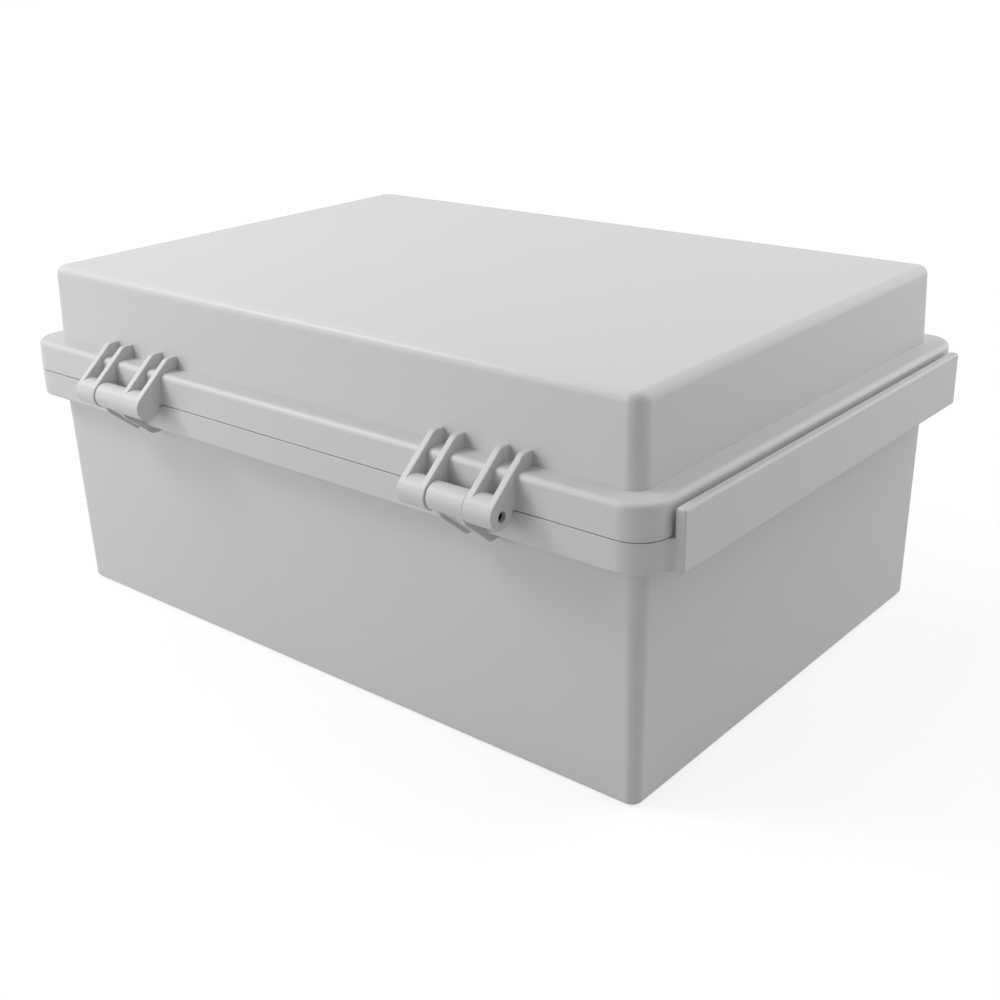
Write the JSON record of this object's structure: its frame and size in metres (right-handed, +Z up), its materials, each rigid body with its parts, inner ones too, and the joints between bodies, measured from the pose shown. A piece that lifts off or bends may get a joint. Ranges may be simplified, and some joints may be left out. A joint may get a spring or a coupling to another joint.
{
  "type": "hinged enclosure",
  "caption": "Deep rectangular polycarbonate enclosure with a hinged domed lid, drip shield, snap latches, padlock lugs and an inner mounting panel.",
  "frame": {"origin": "centre of the base's flat back face", "axes": "+X along the long side towards the drip shield, -Y towards the hinges, +Z up through the lid"},
  "size_m": [0.3584, 0.2812, 0.159],
  "materials": {
    "enclosure_grey": "satin",
    "gasket_black": "matt",
    "stainless": "satin",
    "brass": "satin",
    "panel_white": "satin"
  },
  "bodies": {
    "base": {"base": "enclosure_grey", "hinge_pin_left": "stainless", "hinge_pin_right": "stainless", "latch_pin_left": "stainless", "latch_pin_right": "stainless", "mounting_panel": "panel_white", "panel_screws": "stainless", "panel_inserts": "brass", "wall_inserts": "brass"},
    "lid": {"lid": "enclosure_grey", "lid_gasket": "gasket_black"},
    "latch_left": {"latch_left": "enclosure_grey"},
    "latch_right": {"latch_right": "enclosure_grey"}
  },
  "joints": [
    {"name": "lid_hinge", "type": "hinge", "parent": "base", "child": "lid", "pos_m": [0, -0.1306, 0.111], "axis": [1, 0, 0], "range_deg": [0, 180]},
    {"name": "latch_left_pivot", "type": "hinge", "parent": "base", "child": "latch_left", "pos_m": [-0.092, 0.1289, 0.1036], "axis": [1, 0, 0], "range_deg": [-15, 172]},
    {"name": "latch_right_pivot", "type": "hinge", "parent": "base", "child": "latch_right", "pos_m": [0.092, 0.1289, 0.1036], "axis": [1, 0, 0], "range_deg": [-15, 172]}
  ]
}
